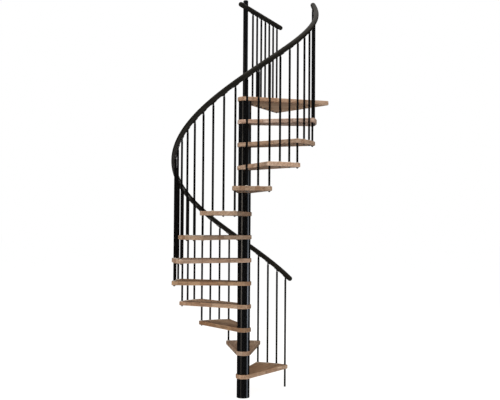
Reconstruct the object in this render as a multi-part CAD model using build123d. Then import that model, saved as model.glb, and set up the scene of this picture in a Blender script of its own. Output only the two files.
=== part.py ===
from build123d import *
from math import acos, asin, atan2, cos, degrees, radians, sin, sqrt
import os

# Spiral staircase kit, turning left on the way up.
# Millimetres, +Z up, origin at the middle of the underside of the base plate.

# Stair layout
rise = 225.0                  # height of one step
tread_count = 12              # steps below the landing
step_angle = 26.54            # turn of one step in degrees
first_tread_angle = 63.63     # middle of the lowest tread, from +X
balusters_per_step = 3

# Column
column_radius = 62.5
column_wall = 3.0
pole_radius = 24.0            # inner pole, carried on as the landing post
pole_wall = 3.5
base_thickness = 8.0
base_bolt_circle = 90.0
base_bolt_radius = 5.0
base_bolt_count = 4
post_above_guard = 67.0       # top of the landing post above the guard rail's centre

# Treads
tread_radius = 702.0
tread_overlap = 1.83          # degrees that a tread reaches past its corner balusters
tread_thickness = 40.0
hub_lip = 10.5                # wood round the column at the hub
tread_corner = 16.0           # rounding of the corners in plan
tread_edge = 6.0              # rounding of the long edges
pole_clearance = 0.5
baluster_clearance = 0.5

# Balusters
baluster_inset = 25.0         # from the tread's outer edge to the baluster axis
baluster_radius = 10.0
collar_radius = 15.0
collar_height = 5.0
collar_clearance = 0.4
collar_chamfer = 1.5
nut_radius = 8.5
nut_height = 9.0
nut_round = 4.5
washer_radius = 13.0
washer_thickness = 3.0

# Handrail
handrail_offset = 14.0        # rail centre outside the circle of the balusters
handrail_radius = 25.0
handrail_above_tread = 927.0  # rail centre above the tread at its front edge
rail_start = -0.45            # ends and joints counted in baluster spaces
rail_end = 36.4
first_joint = 2.28
joint_spacing = 3.37
joint_count = 10
ring_width = 4.0
ring_recess = 1.0

# Brackets between the balusters and the rails
bracket_gap = 0.3
saddle_thickness = 4.0        # strap that lies round the underside of the rail
saddle_span = 62.0            # in degrees round the rail
saddle_length = 62.0
saddle_lift = 9.0             # middle of the strap uphill of the neck
neck_radius = 6.0
neck_height = 15.0
knuckle_radius = 8.0
knuckle_height = 11.0
pin_radius = 2.5
pin_rise = 4.5                # pin above the lower end of the knuckle
pin_proud = 2.0

# Landing
landing_right_radius = 885.0
landing_right_angle = 12.4
landing_back_radius = 915.0
landing_back_angle = 68.3
landing_corner = 34.0

# Landing guard
guard_angle = 65.8
guard_rail_height = 892.0     # rail centre above the landing
guard_rail_radius = 24.0
guard_near_end = 112.0
guard_overhang = 100.0        # rail beyond the last baluster
guard_first_baluster = 180.0
guard_corner_margin = 90.0    # last baluster to the back corner of the landing
guard_baluster_count = 7
cap_height = 16.0
cap_edge = 11.0

# Room for cutting through and for finding a corner
cut_margin = 1.0
corner_match = 0.01

# Sizes that follow from the ones above
baluster_circle = tread_radius - baluster_inset
handrail_circle = baluster_circle + handrail_offset
tread_half_angle = step_angle / 2 + tread_overlap
tread_hub_radius = column_radius + hub_lip
baluster_step = step_angle / balusters_per_step
baluster_zero = first_tread_angle - step_angle / 2
baluster_count = balusters_per_step * tread_count + 1
baluster_rise = rise / balusters_per_step
landing_height = rise * (tread_count + 1)
rail_slope = degrees(atan2(baluster_rise, handrail_circle * radians(baluster_step)))
rail_pitch = baluster_rise * 360 / baluster_step
rail_zero = rise + handrail_above_tread
baluster_space = baluster_rise / sin(radians(rail_slope))
guard_top = landing_height + guard_rail_height
guard_last_baluster = landing_back_radius - guard_corner_margin
guard_baluster_spacing = (guard_last_baluster - guard_first_baluster) / (guard_baluster_count - 1)
guard_far_end = guard_last_baluster + guard_overhang
pole_top = guard_top + post_above_guard - cap_height


def polar(radius, angle, z=0.0):
    return (radius * cos(radians(angle)), radius * sin(radians(angle)), z)


def baluster_angle(index):
    return baluster_zero + index * baluster_step


def rail_height(index):
    return rail_zero + index * baluster_rise


def saddle_drop(slope, side, rail_radius):
    # Rail centre to the outside of the strap, straight down at the baluster.
    outside = rail_radius + bracket_gap + saddle_thickness
    return sqrt(outside ** 2 - side ** 2) / cos(radians(slope))


def place(piece, radius, angle, z):
    return Pos(*polar(radius, angle, z)) * Rot(0, 0, angle) * piece


def save(pieces, name):
    if isinstance(pieces, list):
        if len(pieces) == 1:
            pieces = pieces[0]
        else:
            pieces = Compound(children=pieces)
    pieces.label = name
    export_step(pieces, f"parts/{name}.step")


def tube(outer, inner, bottom, top):
    wall = Cylinder(outer, top - bottom) - Cylinder(inner, top - bottom + 2 * cut_margin)
    return Pos(0, 0, (bottom + top) / 2) * wall


def rod(radius, bottom, top):
    return Pos(0, 0, (bottom + top) / 2) * Cylinder(radius, top - bottom)


def rounded_board(outline, corners, corner_radius):
    # A board of tread thickness whose top face lies at z = 0.
    face = make_face(outline)
    if corners:
        sharp = []
        for vertex in face.vertices():
            for corner in corners:
                if (Vector(vertex.X, vertex.Y) - Vector(*corner[:2])).length < corner_match:
                    sharp.append(vertex)
        face = fillet(sharp, corner_radius)
    board = Pos(0, 0, -tread_thickness) * extrude(face, tread_thickness)
    rims = board.faces().sort_by(Axis.Z)[0].edges() + board.faces().sort_by(Axis.Z)[-1].edges()
    return fillet(rims, tread_edge)


def tangent_point(corner_radius, corner_angle, side):
    turn = degrees(acos(tread_hub_radius / corner_radius))
    return polar(tread_hub_radius, corner_angle + side * turn)


def bore(board, radius, angle, hole_radius):
    x, y, z = polar(radius, angle, -tread_thickness / 2)
    return board - Pos(x, y, z) * Cylinder(hole_radius, tread_thickness + 2 * cut_margin)


def make_tread():
    high = polar(tread_radius, tread_half_angle)
    low = polar(tread_radius, -tread_half_angle)
    high_tangent = tangent_point(tread_radius, tread_half_angle, 1)
    low_tangent = tangent_point(tread_radius, -tread_half_angle, -1)
    outline = [
        Line(high_tangent, high),
        ThreePointArc(high, (tread_radius, 0, 0), low),
        Line(low, low_tangent),
        ThreePointArc(low_tangent, (-tread_hub_radius, 0, 0), high_tangent),
    ]
    board = rounded_board(outline, [high, low], tread_corner)
    board = bore(board, 0, 0, pole_radius + pole_clearance)
    for slot in range(balusters_per_step + 1):
        angle = (slot - balusters_per_step / 2) * baluster_step
        board = bore(board, baluster_circle, angle, baluster_radius + baluster_clearance)
    return board


def guard_reach(index):
    return guard_first_baluster + index * guard_baluster_spacing


def make_landing():
    right = polar(landing_right_radius, landing_right_angle)
    back = polar(landing_back_radius, landing_back_angle)
    right_tangent = tangent_point(landing_right_radius, landing_right_angle, -1)
    back_tangent = tangent_point(landing_back_radius, landing_back_angle, 1)
    far_side = (landing_right_angle + landing_back_angle) / 2 + 180
    outline = [
        Line(back_tangent, back),
        Line(back, right),
        Line(right, right_tangent),
        ThreePointArc(right_tangent, polar(tread_hub_radius, far_side), back_tangent),
    ]
    board = rounded_board(outline, [right, back], landing_corner)
    board = bore(board, 0, 0, pole_radius + pole_clearance)
    for index in range(guard_baluster_count):
        board = bore(board, guard_reach(index), guard_angle, baluster_radius + baluster_clearance)
    return board


def make_nut():
    # Washer and domed nut hanging below z = 0.
    washer = rod(washer_radius, -washer_thickness, 0)
    bottom = -washer_thickness - nut_height
    dome = rod(nut_radius, bottom, -washer_thickness)
    dome = fillet(dome.edges().filter_by(GeomType.CIRCLE).sort_by(Axis.Z)[0], nut_round)
    return washer + dome


def make_collar():
    # Ring round the foot of a baluster, standing on z = 0.
    ring = tube(collar_radius, baluster_radius + collar_clearance, 0, collar_height)
    rims = ring.edges().filter_by(GeomType.CIRCLE).sort_by(Axis.Z)[-2:]
    outer = rims.sort_by(SortBy.RADIUS)[-1]
    return chamfer(outer, collar_chamfer)


def saddle_face(side, rail_radius):
    # Section of the strap: x away from the column, y down, rail centre at the origin.
    inner = rail_radius + bracket_gap
    outer = inner + saddle_thickness
    middle = 90 + degrees(asin(side / (inner + saddle_thickness / 2)))
    first = middle - saddle_span / 2
    last = middle + saddle_span / 2
    return make_face([
        CenterArc((0, 0), inner, first, saddle_span),
        Line(polar(inner, last), polar(outer, last)),
        CenterArc((0, 0), outer, first, saddle_span),
        Line(polar(outer, first), polar(inner, first)),
    ])


def make_neck(slope, side, rail_radius):
    # The rail centre passes at x = side, z = 0; the baluster axis is x = y = 0.
    drop = saddle_drop(slope, side, rail_radius)
    strap_middle = rail_radius + bracket_gap + saddle_thickness / 2
    above = Cylinder(strap_middle, 2 * (strap_middle + drop))
    stem = rod(neck_radius, -drop - neck_height, 0)
    stem = stem + rod(knuckle_radius, -drop - knuckle_height, 0)
    stem = stem - Pos(side, 0, 0) * Rot(slope - 90, 0, 0) * above
    pin = Rot(0, 90, 0) * Cylinder(pin_radius, 2 * (knuckle_radius + pin_proud))
    return stem + Pos(0, 0, -drop - knuckle_height + pin_rise) * pin


def rail_point(index, radius=handrail_circle):
    return Vector(*polar(radius, baluster_angle(index), rail_height(index)))


def rail_direction(index):
    flat = polar(cos(radians(rail_slope)), baluster_angle(index) + 90)
    return Vector(flat[0], flat[1], sin(radians(rail_slope)))


def rail_piece(start, end, shape):
    # The shape carried along the handrail between two places counted in baluster spaces.
    height = (end - start) * baluster_rise
    path = Helix(pitch=rail_pitch, height=height, radius=handrail_circle)
    tangent = Vector(0, cos(radians(rail_slope)), sin(radians(rail_slope)))
    section = Plane(origin=(handrail_circle, 0, 0), x_dir=(1, 0, 0), z_dir=tangent) * shape
    piece = sweep(section, path=path, is_frenet=True)
    return Pos(0, 0, rail_height(start)) * Rot(0, 0, baluster_angle(start)) * piece


def end_dome(radius, origin, direction):
    half = Sphere(radius, arc_size1=0, align=(Align.CENTER, Align.CENTER, Align.MIN))
    return Plane(origin=origin, z_dir=direction) * half


os.makedirs("parts", exist_ok=True)

# Column: base plate, spacer tubes between the treads, inner pole with its cap
base = rod(column_radius, 0, base_thickness)
for index in range(base_bolt_count):
    angle = (index + 0.5) * 360 / base_bolt_count
    x, y, z = polar(base_bolt_circle / 2, angle, base_thickness / 2)
    base = base - Pos(x, y, z) * Cylinder(base_bolt_radius, base_thickness + 2 * cut_margin)
save(base, "base_plate")

spacers = []
for step in range(tread_count + 1):
    bottom = step * rise if step else base_thickness
    top = (step + 1) * rise - tread_thickness
    spacers.append(tube(column_radius, column_radius - column_wall, bottom, top))
save(spacers, "column_spacers")

save(tube(pole_radius, pole_radius - pole_wall, base_thickness, pole_top), "centre_pole")
cap = rod(pole_radius, pole_top, pole_top + cap_height)
cap = fillet(cap.edges().filter_by(GeomType.CIRCLE).sort_by(Axis.Z)[-1], cap_edge)
save(cap, "post_cap")

# Treads and landing
tread = make_tread()
for step in range(1, tread_count + 1):
    angle = first_tread_angle + (step - 1) * step_angle
    save(Pos(0, 0, step * rise) * Rot(0, 0, angle) * tread, f"tread_{step:02d}")
save(Pos(0, 0, landing_height) * make_landing(), "landing")

# Balusters of the stair, with the nuts below and the collars on the treads
nut = make_nut()
collar = make_collar()
corner_balusters = []
infill_balusters = []
nuts = []
collars = []
side = handrail_circle - baluster_circle
baluster_drop = saddle_drop(rail_slope, side, handrail_radius) + neck_height
for index in range(baluster_count):
    angle = baluster_angle(index)
    step = -(-index // balusters_per_step)
    foot = step * rise - tread_thickness if step else 0.0
    head = rail_height(index) - baluster_drop
    bar = place(rod(baluster_radius, foot, head), baluster_circle, angle, 0)
    if index % balusters_per_step:
        infill_balusters.append(bar)
    else:
        corner_balusters.append(bar)
    if step:
        nuts.append(place(nut, baluster_circle, angle, foot))
        collars.append(place(collar, baluster_circle, angle, step * rise))
save(corner_balusters, "corner_balusters")
save(infill_balusters, "infill_balusters")

# Handrail in sections with joint rings and rounded ends
joints = [first_joint + index * joint_spacing for index in range(joint_count)]
half_ring = ring_width / 2 / baluster_space
starts = [rail_start] + [joint + half_ring for joint in joints]
ends = [joint - half_ring for joint in joints] + [rail_end]
for index in range(joint_count + 1):
    piece = rail_piece(starts[index], ends[index], Circle(handrail_radius))
    save(piece, f"handrail_{index + 1:02d}")
rings = []
for joint in joints:
    rings.append(rail_piece(joint - half_ring, joint + half_ring, Circle(handrail_radius - ring_recess)))
save(rings, "handrail_joint_rings")
save([
    end_dome(handrail_radius, rail_point(rail_start), -rail_direction(rail_start)),
    end_dome(handrail_radius, rail_point(rail_end), rail_direction(rail_end)),
], "handrail_end_caps")

# Brackets: a strap under the handrail with a neck standing on the baluster
neck = make_neck(rail_slope, side, handrail_radius)
foot = -(baluster_drop - neck_height) * sin(radians(rail_slope))
low = (foot + saddle_lift - saddle_length / 2) / baluster_space
high = (foot + saddle_lift + saddle_length / 2) / baluster_space
saddle = rail_piece(low, high, saddle_face(side, handrail_radius))
bracket = saddle + place(neck, baluster_circle, baluster_zero, rail_zero)
brackets = []
for index in range(baluster_count):
    brackets.append(place(bracket, 0, index * baluster_step, index * baluster_rise))
save(brackets, "handrail_brackets")

# Guard on the landing
guard_along = Vector(*polar(1.0, guard_angle))
level_section = Plane(origin=(0, -saddle_length / 2, 0), x_dir=(1, 0, 0), z_dir=(0, 1, 0))
level_saddle = extrude(level_section * saddle_face(0, guard_rail_radius), saddle_length)
level_bracket = Rot(0, 0, -90) * (level_saddle + make_neck(0, 0, guard_rail_radius))
guard_drop = saddle_drop(0, 0, guard_rail_radius) + neck_height
guard_balusters = []
guard_brackets = []
for index in range(guard_baluster_count):
    reach = guard_reach(index)
    bar = rod(baluster_radius, landing_height - tread_thickness, guard_top - guard_drop)
    guard_balusters.append(place(bar, reach, guard_angle, 0))
    nuts.append(place(nut, reach, guard_angle, landing_height - tread_thickness))
    collars.append(place(collar, reach, guard_angle, landing_height))
    guard_brackets.append(place(level_bracket, reach, guard_angle, guard_top))
save(guard_balusters, "guard_balusters")
save(guard_brackets, "guard_brackets")
save(nuts, "baluster_nuts")
save(collars, "baluster_collars")

length = guard_near_end + guard_far_end
middle = (guard_far_end - guard_near_end) / 2
bar = Pos(middle, 0, 0) * Rot(0, 90, 0) * Cylinder(guard_rail_radius, length)
bar = bar - Cylinder(pole_radius + bracket_gap, 2 * (guard_rail_radius + cut_margin))
bar = Pos(0, 0, guard_top) * Rot(0, 0, guard_angle) * bar
save(Compound(children=list(bar.solids())), "guard_rail")
save([
    end_dome(guard_rail_radius, Vector(0, 0, guard_top) - guard_along * guard_near_end, -guard_along),
    end_dome(guard_rail_radius, Vector(0, 0, guard_top) + guard_along * guard_far_end, guard_along),
], "guard_end_caps")
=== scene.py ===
import bpy
from math import cos, radians, sin
from mathutils import Matrix, Vector

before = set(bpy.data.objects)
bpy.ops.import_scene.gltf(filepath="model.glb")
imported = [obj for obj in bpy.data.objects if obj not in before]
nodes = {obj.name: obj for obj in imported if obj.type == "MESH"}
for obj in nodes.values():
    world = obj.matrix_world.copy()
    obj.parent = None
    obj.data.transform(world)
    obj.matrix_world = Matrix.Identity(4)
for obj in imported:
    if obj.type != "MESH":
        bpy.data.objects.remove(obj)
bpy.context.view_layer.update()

# Stair layout, in metres and degrees, as the frame has it
TREADS = 12
RISE = 0.225
STEP_ANGLE = 26.54
FIRST_TREAD_ANGLE = 63.63
LANDING_ANGLE = 12.4
COLUMN_PIECES = ("base_plate", "column_spacers", "centre_pole", "post_cap")

# Camera, at the place from which the photograph was taken, in metres and degrees
CAMERA_BACK = 7.912
CAMERA_HEIGHT = 1.7095
CAMERA_YAW = 0.397
CAMERA_PITCH = 1.51
CAMERA_ROLL = -0.39
FOCAL_PIXELS = 808.85       # focal length, in the photograph's pixels
PHOTO_WIDTH = 500
SENSOR = 36.0               # in millimetres

# Laminated boards: staves side by side, each made of blocks that follow one another
STAVE = 0.046               # width of a stave
FIRST_STAVE = 0.017         # place of the joints between staves
STAVE_SHIFT = 0.011         # by which the joints move on from board to board
STAVE_SEEDS = 17.3          # keeps the chance of one board's staves apart from the next board's
BLOCK = 0.42                # length of a block
BLOCK_SHIFT = 5.0           # blocks by which one stave may be out of step with the next
GRAIN_SHIFT = 9.0           # metres of grain, at most, between one block's and the next one's
BOARD_SHIFT = 3.71          # metres of grain between one board's and the next one's
GRAIN_SCALE = (1.6, 26.0, 26.0)
RING_SWING = (0.0, 1.4, 0.9)
FINE_SCALE = (9.0, 330.0, 330.0)
PORE_SCALE = (26.0, 700.0, 700.0)
GLUE_HALF = 0.022           # half of a glue line, as a share of a stave
GLUE_SHARPNESS = 46.0
RING_COLOURS = (
    (0.31, (0.146, 0.085, 0.050, 1)),
    (0.45, (0.255, 0.163, 0.105, 1)),
    (0.57, (0.336, 0.227, 0.153, 1)),
    (0.72, (0.440, 0.316, 0.224, 1)),
)
BLOCK_TINTS = (
    (0.0, (0.80, 0.67, 0.57, 1)),
    (0.35, (1.00, 0.93, 0.86, 1)),
    (0.7, (1.01, 1.01, 1.00, 1)),
    (1.0, (1.18, 1.20, 1.21, 1)),
)
PALE_PATCH = (0.30, 0.235, 0.185, 1)
GLUE = (0.085, 0.052, 0.032, 1)
HANDLED_EDGE = (0.16, 0.105, 0.068, 1)
# Strength of each in a board's colour
STREAKS = 0.40
PORES = 0.20
PATCHES = 0.22
GLUE_LINES = 0.55
HANDLING = 0.25
VARNISH_ROUGHNESS = 0.20    # of the smoothest spots

# Lightness and redness of each board, from the lowest tread up: its edges, then its faces. Partly
# the board's own tone, partly painted light and shade: some treads lightened or darkened for the
# light that falls on them, and faces and edges lit apart, with painted sheen on the edges.
BOARD_TONES_AND_PAINTED_LIGHT = (
    ((1.05, 1.00), (1.18, 1.04)),
    ((0.90, 0.98), (1.42, 0.96)),
    ((0.53, 1.19), (1.05, 1.04)),
    ((0.90, 1.02), (1.36, 1.00)),
    ((0.76, 1.11), (0.76, 1.11)),
    ((1.15, 0.96), (1.15, 0.96)),
    ((0.74, 1.00), (0.74, 1.00)),
    ((0.79, 1.00), (0.79, 1.00)),
    ((0.75, 1.01), (0.75, 1.01)),
    ((1.35, 0.96), (1.35, 0.96)),
    ((0.95, 0.98), (0.95, 0.98)),
    ((1.28, 0.90), (1.28, 0.90)),
)
# The same for the landing: its own tone, with painted light and sheen on its edges and faces
LANDING_TONES_AND_PAINTED_LIGHT = ((1.17, 0.97), (0.98, 1.02))

# Powder coat
DUST = 0.06
BARE_EDGES = 0.2
SPECKS_IN_RELIEF = 0.15

# Room and floor. Rays that show the background find it white, others find a softer light.
SEEING_RAYS = ("Is Camera Ray", "Is Glossy Ray", "Is Transmission Ray")
AMBIENT = 0.60              # light of the room on the object
FLOOR_HALF = 60.0
FLOOR_DROP = 0.0005         # keeps the floor clear of the base plate
FLOOR_TONE = 0.20           # floor as it is seen, with its glow on top
FLOOR_TONE_RANGE = 0.01
FLOOR_GLOW = 0.88
FLOOR_BOUNCE = 0.42         # floor as the light of the lamps finds it
FLOOR_LIGHT = 0.85          # light that the pale floor throws up under the treads

# Black studio cards around the stair
CARDS = 24
CARD_DISTANCE = 9.0
CARD_HEIGHTS = (-4.0, 9.0)
CARD_BLACK = 0.012

# Lamps and windows
DAYLIGHT = (0.88, 0.94, 1.0)
SOFT_WHITE = (1.0, 0.98, 0.95)
WARM_WHITE = (1.0, 0.96, 0.90)
LAMP_GLOW = (1.0, 0.93, 0.83)
COOL_GLASS = (0.80, 0.88, 1.0)
WARM_GLASS = (1.0, 0.90, 0.78)
UPPER_STAIR = 2.3           # height that most lamps point at
WINDOW_MIDDLE = 1.6
WINDOW_HEIGHT = 6.6
WINDOW_AIM = 1.9


class Tree:
    """Short calls for building the nodes of a material, of the world or of a lamp."""

    def __init__(self, owner):
        owner.use_nodes = True
        self.owner = owner
        self.nodes = owner.node_tree.nodes
        self.links = owner.node_tree.links

    def feed(self, socket, value):
        if isinstance(value, bpy.types.NodeSocket):
            self.links.new(value, socket)
        else:
            socket.default_value = value

    def node(self, kind, out=0, inputs=(), **settings):
        node = self.nodes.new(kind)
        for key, value in settings.items():
            setattr(node, key, value)
        for key, value in dict(inputs).items():
            self.feed(node.inputs[key], value)
        return node.outputs[out]

    def math(self, operation, a, b=0.0, clamp=False):
        return self.node("ShaderNodeMath", 0, {0: a, 1: b}, operation=operation, use_clamp=clamp)

    def weighted(self, *parts):
        """Sum of values, each times its share."""
        total = 0.0
        for value, share in parts:
            total = self.node("ShaderNodeMath", 0, {0: value, 1: share, 2: total},
                              operation="MULTIPLY_ADD")
        return total

    def vector(self, operation, a, b):
        return self.node("ShaderNodeVectorMath", 0, {0: a, 1: b}, operation=operation)

    def axes(self, vector):
        return self.node("ShaderNodeSeparateXYZ", 0, {0: vector}).node.outputs

    def mix(self, factor, a, b, blend="MIX"):
        # Sockets 0, 6, 7 and output 2 are those of a mix of two colours
        return self.node("ShaderNodeMix", 2, {0: factor, 6: a, 7: b},
                         data_type="RGBA", blend_type=blend)

    def ramp(self, factor, stops):
        colours = self.node("ShaderNodeValToRGB", 0, {0: factor})
        elements = colours.node.color_ramp.elements
        while len(elements) < len(stops):
            elements.new(0.5)
        for element, (place, colour) in zip(elements, stops):
            element.position = place
            element.color = colour
        return colours

    def step(self, factor, start, end):
        """Rises from 0 to 1 between start and end."""
        return self.ramp(factor, [(start, grey(0.0)), (end, grey(1.0))])

    def noise(self, vector, scale, detail=2.0, roughness=0.5):
        values = {"Vector": vector, "Scale": scale, "Detail": detail, "Roughness": roughness}
        return self.node("ShaderNodeTexNoise", 0, values)

    def stretch(self, vector, move=(0, 0, 0), turn=(0, 0, 0), scale=(1, 1, 1)):
        values = {"Vector": vector, "Location": move, "Rotation": turn, "Scale": scale}
        return self.node("ShaderNodeMapping", 0, values)

    def bump(self, height, strength, distance):
        values = {"Height": height, "Strength": strength, "Distance": distance}
        return self.node("ShaderNodeBump", 0, values)

    def shade(self, values):
        """Sets or links the inputs of a material's shader."""
        shader = self.nodes["Principled BSDF"]
        for key, value in values.items():
            self.feed(shader.inputs[key], value)


def material_tree(name):
    return Tree(bpy.data.materials.new(name))


def grey(value):
    return (value, value, value, 1.0)


def tint(tone):
    """Factor on a board's colour, from its lightness and redness, which carry painted light and
    shade as well as the board's own tone.
    """
    light, red = tone
    return (light * red, light, light / red ** 2, 1.0)


def brighter(colour, lift):
    return tuple(min(1.0, 2.0 * part + lift) for part in colour[:3]) + (1.0,)


def board_place(t, angle, height, seed):
    """Place on a board: X along it, Y across it, Z from its top face."""
    place = t.node("ShaderNodeTexCoord", "Object")
    turned = t.node("ShaderNodeVectorRotate", 0, {"Vector": place, "Angle": -radians(angle)},
                    rotation_type="Z_AXIS")
    return t.stretch(turned, move=(seed * BOARD_SHIFT, 0.0, -height))


def block_chance(t, row, along, seed):
    """A chance number for each block, and a chance vector."""
    stave = t.math("FLOOR", row)
    stave_seed = t.math("ADD", stave, seed * STAVE_SEEDS)
    shift = t.node("ShaderNodeTexWhiteNoise", 0, {"W": stave_seed}, noise_dimensions="1D")
    run = t.math("ADD", t.math("DIVIDE", along, BLOCK), t.math("MULTIPLY", shift, BLOCK_SHIFT))
    key = t.node("ShaderNodeCombineXYZ", 0, {0: stave, 1: t.math("FLOOR", run), 2: float(seed)})
    chance = t.node("ShaderNodeTexWhiteNoise", 0, {"Vector": key}, noise_dimensions="3D")
    return chance, chance.node.outputs["Color"]


def grain(t, own, spread):
    """Growth rings, fine streaks and pores, all of them long along the board."""
    place = t.vector("ADD", own, t.vector("MULTIPLY", spread, (GRAIN_SHIFT,) * 3))
    long_grain = t.stretch(place, scale=GRAIN_SCALE)
    wave = t.noise(long_grain, scale=2.2, detail=3.0, roughness=0.55)
    swing = t.vector("MULTIPLY", wave, RING_SWING)
    rings = t.noise(t.vector("ADD", long_grain, swing), scale=3.0, detail=4.0, roughness=0.62)
    fine = t.noise(t.stretch(place, scale=FINE_SCALE), scale=2.0, roughness=0.6)
    pores = t.noise(t.stretch(place, scale=PORE_SCALE), scale=1.6, detail=1.0)
    return rings, fine, pores


def wood(name, angle, height, seed, tones_and_painted_light):
    """Laminated staves along a board that points in the direction angle."""
    t = material_tree(name)
    own = board_place(t, angle, height, seed)
    along, across, _ = t.axes(own)
    row = t.math("DIVIDE", t.math("ADD", across, FIRST_STAVE + STAVE_SHIFT * seed), STAVE)
    chance, spread = block_chance(t, row, along, seed)
    rings, fine, pores = grain(t, own, spread)
    broad = t.noise(own, scale=5.0)

    colour = t.mix(1.0, t.ramp(rings, RING_COLOURS), t.ramp(chance, BLOCK_TINTS), "MULTIPLY")
    # Painted light and shade: how level the surface is tells a board's faces from its edges, and
    # each gets its own lightness and redness, as light and sheen fall differently on them
    edges, faces = tones_and_painted_light
    level = t.math("ABSOLUTE", t.axes(t.node("ShaderNodeTexCoord", "Normal"))[2])
    colour = t.mix(1.0, colour, t.mix(level, tint(edges), tint(faces)), "MULTIPLY")
    streak = t.ramp(fine, [(0.3, grey(0.80)), (0.6, grey(1.06))])
    colour = t.mix(STREAKS, colour, streak, "MULTIPLY")
    pore = t.ramp(pores, [(0.30, grey(0.55)), (0.40, grey(1.0))])
    colour = t.mix(PORES, colour, pore, "MULTIPLY")
    colour = t.mix(t.math("MULTIPLY", broad, PATCHES), colour, PALE_PATCH)
    # Glue lines between the staves
    from_middle = t.math("ABSOLUTE", t.math("SUBTRACT", t.math("FRACT", row), 0.5))
    past = t.math("SUBTRACT", from_middle, 0.5 - GLUE_HALF)
    line = t.math("MULTIPLY", past, GLUE_SHARPNESS, clamp=True)
    colour = t.mix(t.math("MULTIPLY", line, GLUE_LINES), colour, GLUE)
    # Rounded edges take more varnish and handling, so they are a little darker
    handled = t.step(t.node("ShaderNodeNewGeometry", "Pointiness"), 0.50, 0.62)
    colour = t.mix(t.math("MULTIPLY", handled, HANDLING), colour, HANDLED_EDGE)

    rough = t.weighted((fine, 0.16), (broad, 0.14))
    relief = t.weighted((pores, 0.6), (rings, 0.4), (line, -0.8))
    t.shade({
        "Base Color": colour,
        "Roughness": t.math("ADD", rough, VARNISH_ROUGHNESS),
        "Normal": t.bump(relief, strength=0.10, distance=0.0012),
        "Coat Weight": 0.3,
        "Coat Roughness": 0.1,
        "Specular IOR Level": 0.3,
    })
    return t.owner


def coat(name, colour, second, rough, spread, peel=0.10, weight=0.15, metal=0.0, shine=0.85):
    """Powder coat: orange peel, a little dust and finger marks, and bare edges."""
    t = material_tree(name)
    place = t.node("ShaderNodeTexCoord", "Object")
    cloud = t.noise(place, scale=7.0, detail=4.0, roughness=0.6)
    speck = t.noise(place, scale=420.0, roughness=0.6)
    wiped = t.stretch(place, move=(0.3, 0.1, 0), turn=(0.4, 0.2, 0.5), scale=(14, 14, 3))
    smear = t.noise(wiped, scale=2.0, detail=3.0, roughness=0.6)
    skin = t.node("ShaderNodeTexVoronoi", 0, {"Vector": place, "Scale": 900.0},
                  feature="SMOOTH_F1")

    base = t.mix(t.step(cloud, 0.35, 0.68), colour, second)
    dust = t.math("MULTIPLY", t.step(speck, 0.62, 0.74), DUST)
    base = t.mix(dust, base, brighter(second, 0.01))
    bare = t.step(t.node("ShaderNodeNewGeometry", "Pointiness"), 0.60, 0.72)
    base = t.mix(t.math("MULTIPLY", bare, BARE_EDGES), base, brighter(colour, 0.02))

    relief = t.math("ADD", skin, t.math("MULTIPLY", speck, SPECKS_IN_RELIEF))
    t.shade({
        "Base Color": base,
        "Roughness": t.math("ADD", t.math("MULTIPLY", smear, spread), rough - spread / 2),
        "Normal": t.bump(relief, strength=peel, distance=0.0006),
        "Metallic": metal,
        "Coat Weight": weight,
        "Coat Roughness": 0.2,
        "Specular IOR Level": shine,
    })
    return t.owner


def dress(names, material):
    for name in names:
        mesh = nodes[name].data
        mesh.materials.clear()
        mesh.materials.append(material)


steel = coat("black_steel", (0.0012, 0.0012, 0.0014, 1), (0.0022, 0.0022, 0.0026, 1),
             rough=0.18, spread=0.06, peel=0.02)
thin_steel = coat("baluster_steel", (0.0012, 0.0011, 0.0012, 1), (0.0022, 0.0021, 0.0022, 1),
                  rough=0.38, spread=0.08, peel=0.015, weight=0.0, shine=0.35)
rail = coat("handrail_coat", (0.0080, 0.0071, 0.0055, 1), (0.0120, 0.0106, 0.0083, 1),
            rough=0.42, spread=0.12, weight=0.0, shine=0.11)
fitting = coat("fitting_coat", (0.0060, 0.0058, 0.0056, 1), (0.0110, 0.0105, 0.0100, 1),
               rough=0.34, spread=0.14)
nut = coat("nut_zinc", (0.060, 0.052, 0.045, 1), (0.105, 0.092, 0.080, 1),
           rough=0.38, spread=0.16, metal=0.6)
collar = coat("collar_plastic", (0.42, 0.39, 0.34, 1), (0.50, 0.47, 0.42, 1),
              rough=0.45, spread=0.12, peel=0.05)
rubber = coat("joint_rubber", (0.0045, 0.0045, 0.0045, 1), (0.0085, 0.0085, 0.0085, 1),
              rough=0.6, spread=0.1)

for index, tones_and_painted_light in enumerate(BOARD_TONES_AND_PAINTED_LIGHT):
    number = index + 1
    turn = FIRST_TREAD_ANGLE + index * STEP_ANGLE
    board = wood(f"oak_tread_{number:02d}", turn, number * RISE, number, tones_and_painted_light)
    dress([f"tread_{number:02d}"], board)
board = wood("oak_landing", LANDING_ANGLE, (TREADS + 1) * RISE, TREADS + 1, LANDING_TONES_AND_PAINTED_LIGHT)
dress(["landing"], board)
dress(COLUMN_PIECES, steel)
dress(("corner_balusters", "infill_balusters", "guard_balusters"), thin_steel)
dress([name for name in nodes if name.startswith("handrail_") and name[-1].isdigit()], rail)
dress(("handrail_end_caps", "guard_rail", "guard_end_caps"), rail)
dress(("handrail_brackets", "guard_brackets"), fitting)
dress(["baluster_nuts"], nut)
dress(["baluster_collars"], collar)
dress(["handrail_joint_rings"], rubber)


def add_object(name, data):
    made = bpy.data.objects.new(name, data)
    bpy.context.scene.collection.objects.link(made)
    return made


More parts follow.
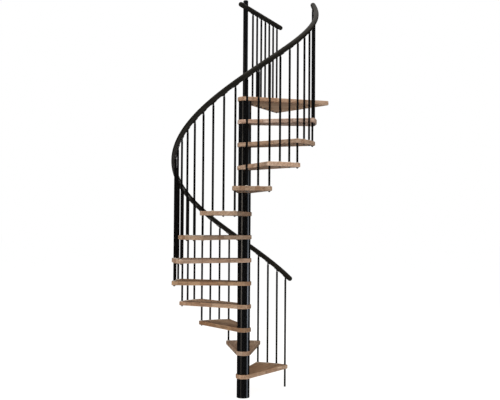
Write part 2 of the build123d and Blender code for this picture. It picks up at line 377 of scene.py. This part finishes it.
def make_floor():
    half = FLOOR_HALF
    mesh = bpy.data.meshes.new("floor")
    mesh.from_pydata([(-half, -half, 0), (half, -half, 0), (half, half, 0), (-half, half, 0)],
                     [], [(0, 1, 2, 3)])
    floor = add_object("floor", mesh)
    floor.location.z = -FLOOR_DROP
    # The windows go on below the floor, so the stripes on the column reach down to its foot
    floor.visible_glossy = False
    t = material_tree("floor_paper")
    patches = t.noise(t.node("ShaderNodeTexCoord", "Object"), scale=1.5, detail=3.0)
    tone = t.ramp(patches, [(0.3, grey(FLOOR_TONE - FLOOR_TONE_RANGE)),
                            (0.7, grey(FLOOR_TONE + FLOOR_TONE_RANGE))])
    path = t.nodes.new("ShaderNodeLightPath").outputs
    seen = 0.0
    for ray in SEEING_RAYS:
        seen = t.math("MAXIMUM", seen, path[ray])
    upward = t.math("MULTIPLY", path["Is Diffuse Ray"], FLOOR_LIGHT)
    t.shade({
        "Base Color": t.mix(seen, grey(FLOOR_BOUNCE), tone),
        "Roughness": 0.9,
        "Specular IOR Level": 0.0,
        "Emission Color": grey(1.0),
        "Emission Strength": t.math("ADD", t.math("MULTIPLY", seen, FLOOR_GLOW), upward),
    })
    # The glow depends on the kind of ray, so it isn't sampled as a lamp
    t.owner.cycles.emission_sampling = "NONE"
    mesh.materials.append(t.owner)


def make_world():
    world = bpy.data.worlds.new("studio")
    bpy.context.scene.world = world
    world.cycles.sampling_method = "NONE"
    t = Tree(world)
    path = t.nodes.new("ShaderNodeLightPath").outputs

    def sky(strength):
        return t.node("ShaderNodeBackground", 0, {"Color": grey(1.0), "Strength": strength})

    room = sky(AMBIENT)
    for ray in SEEING_RAYS:
        room = t.node("ShaderNodeMixShader", 0, {0: path[ray], 1: room, 2: sky(1.0)})
    t.links.new(room, t.nodes["World Output"].inputs["Surface"])


def make_cards():
    """Black cards in a ring: only the stair's gloss shows them, so black steel stays black."""
    around = [radians(360.0 * index / CARDS) for index in range(CARDS)]
    points = [(CARD_DISTANCE * cos(turn), CARD_DISTANCE * sin(turn), height)
              for height in CARD_HEIGHTS for turn in around]
    faces = [(index, (index + 1) % CARDS, CARDS + (index + 1) % CARDS, CARDS + index)
             for index in range(CARDS)]
    mesh = bpy.data.meshes.new("black_cards")
    mesh.from_pydata(points, [], faces)
    cards = add_object("black_cards", mesh)
    cards.visible_camera = False
    cards.visible_diffuse = False
    cards.visible_transmission = False
    cards.visible_shadow = False
    t = material_tree("card_black")
    t.shade({"Base Color": grey(CARD_BLACK), "Roughness": 1.0, "Specular IOR Level": 0.0})
    mesh.materials.append(t.owner)


def softbox(name, azimuth, distance, height, size, power, colour, aim, mirrored=False):
    """Lamp that lights, or is only mirrored. Its azimuth counts from the front to the right."""
    data = bpy.data.lights.new(name, "AREA")
    data.shape = "RECTANGLE"
    data.size, data.size_y = size
    data.energy = power
    data.color = colour
    lamp = add_object(name, data)
    turn = radians(azimuth)
    lamp.location = (distance * sin(turn), -distance * cos(turn), height)
    lamp.rotation_mode = "QUATERNION"
    lamp.rotation_quaternion = (lamp.location - Vector((0, 0, aim))).to_track_quat("Z", "Y")
    lamp.visible_glossy = mirrored
    lamp.visible_diffuse = not mirrored
    return lamp


def window(name, azimuth, distance, width, power, colour, glow):
    """Window that only the column mirrors. Its strength goes by glow, from its foot to its top."""
    lamp = softbox(name, azimuth, distance, WINDOW_MIDDLE, (width, WINDOW_HEIGHT), power, colour,
                   WINDOW_AIM, mirrored=True)
    lamp.light_linking.receiver_collection = column
    t = Tree(lamp.data)
    upward = t.axes(t.node("ShaderNodeNewGeometry", "Parametric"))[1]
    strength = t.ramp(upward, [(place, grey(share)) for place, share in glow])
    t.feed(t.nodes["Emission"].inputs["Strength"], strength)


column = bpy.data.collections.new("column_parts")
for name in COLUMN_PIECES:
    column.objects.link(nodes[name])

make_floor()
make_world()
make_cards()
softbox("key_right", azimuth=38, distance=8.5, height=3.0, size=(2.5, 4.4),
        power=70, colour=DAYLIGHT, aim=UPPER_STAIR)
softbox("fill_left", azimuth=-68, distance=8.0, height=3.0, size=(2.5, 4.2),
        power=320, colour=WARM_WHITE, aim=UPPER_STAIR)
softbox("front", azimuth=0, distance=10.5, height=3.8, size=(5.0, 2.0),
        power=200, colour=SOFT_WHITE, aim=UPPER_STAIR)
softbox("overhead", azimuth=20, distance=1.2, height=7.5, size=(4.0, 4.0),
        power=420, colour=LAMP_GLOW, aim=0.5)
softbox("rim", azimuth=130, distance=7.0, height=4.5, size=(2.5, 2.0),
        power=150, colour=WARM_WHITE, aim=0.8)
window("cool_window", azimuth=79, distance=6.0, width=2.6, power=199, colour=COOL_GLASS,
       glow=((0.20, 0.40), (0.32, 1.0), (0.45, 0.45), (0.57, 0.33), (0.64, 0.14)))
window("warm_window", azimuth=-42, distance=7.0, width=1.8, power=100, colour=WARM_GLASS,
       glow=((0.15, 0.14), (0.45, 0.95), (0.58, 1.0), (0.68, 0.45), (1.0, 0.1)))


def make_camera():
    data = bpy.data.cameras.new("camera")
    data.sensor_width = SENSOR
    data.lens = SENSOR * FOCAL_PIXELS / PHOTO_WIDTH
    camera = add_object("camera", data)
    yaw, pitch, roll = radians(CAMERA_YAW), radians(CAMERA_PITCH), radians(CAMERA_ROLL)
    forward = Vector((sin(yaw) * cos(pitch), cos(yaw) * cos(pitch), sin(pitch)))
    level = Vector((cos(yaw), -sin(yaw), 0))
    upright = level.cross(forward)
    right = cos(roll) * level - sin(roll) * upright
    up = sin(roll) * level + cos(roll) * upright
    turn = Matrix((right, up, -forward)).transposed()
    camera.matrix_world = Matrix.Translation((0, -CAMERA_BACK, CAMERA_HEIGHT)) @ turn.to_4x4()
    bpy.context.scene.camera = camera


make_camera()
bpy.context.scene.view_settings.view_transform = "Standard"
